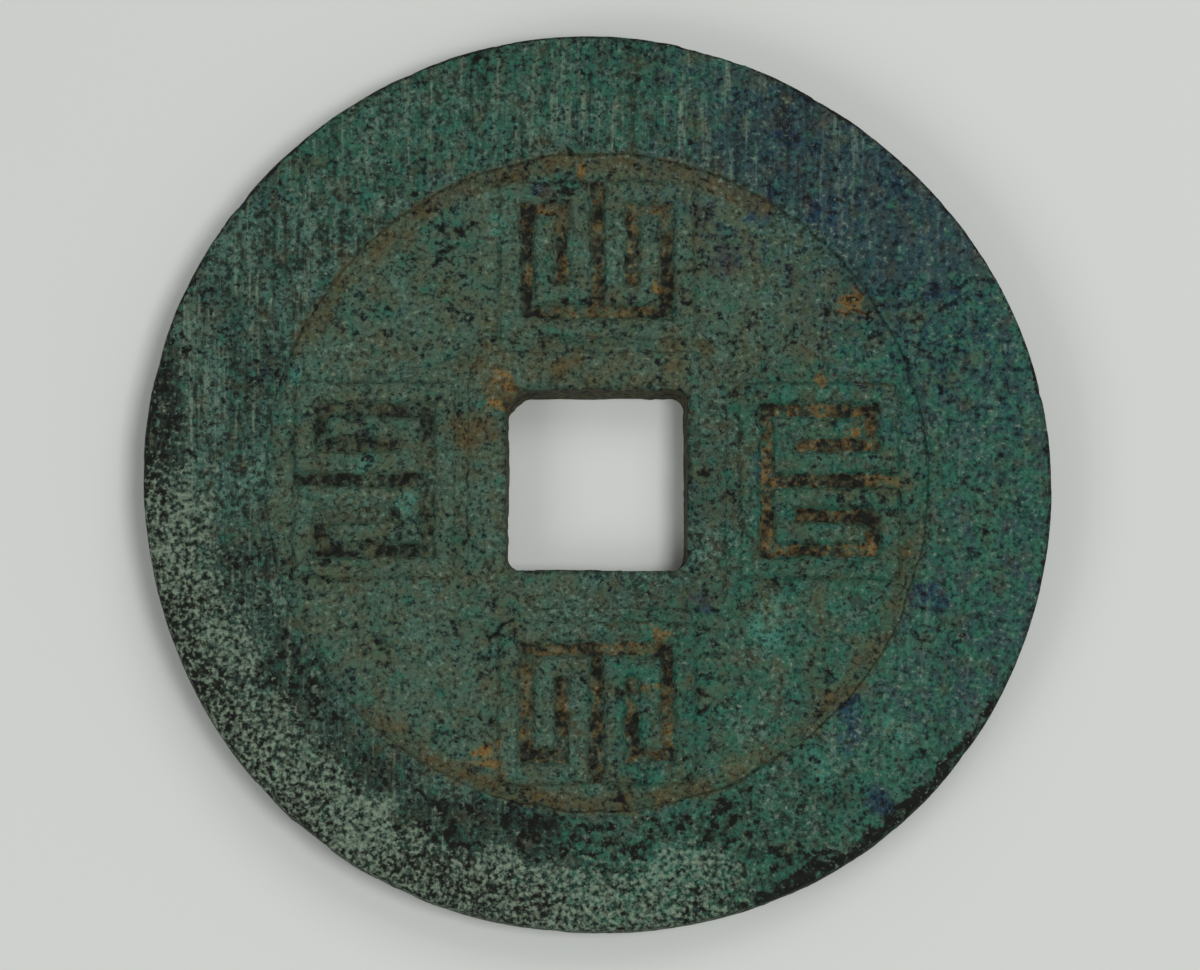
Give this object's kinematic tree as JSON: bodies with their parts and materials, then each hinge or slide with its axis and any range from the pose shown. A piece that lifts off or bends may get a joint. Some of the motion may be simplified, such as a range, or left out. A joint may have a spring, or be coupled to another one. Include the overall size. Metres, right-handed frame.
{
  "type": "cast bronze cash coin",
  "caption": "Large round cast bronze cash coin with a square hole, broad flat outer rim, raised rim round the hole, and squared hook fret in the sunken field.",
  "frame": {"origin": "centre of the square hole, on the plane of the reverse rim face that the coin rests on", "axes": "+Z is the normal of the obverse, the face with the ornament; +Y is the top of the obverse as it is looked at; +X is to its right"},
  "size_m": [0.0459, 0.0456, 0.0032],
  "materials": {
    "patinated_bronze": "cast bronze under a dull dark green and brown patina with earth in the recesses"
  },
  "bodies": {
    "root": {"cast_coin": "patinated_bronze"}
  },
  "joints": []
}
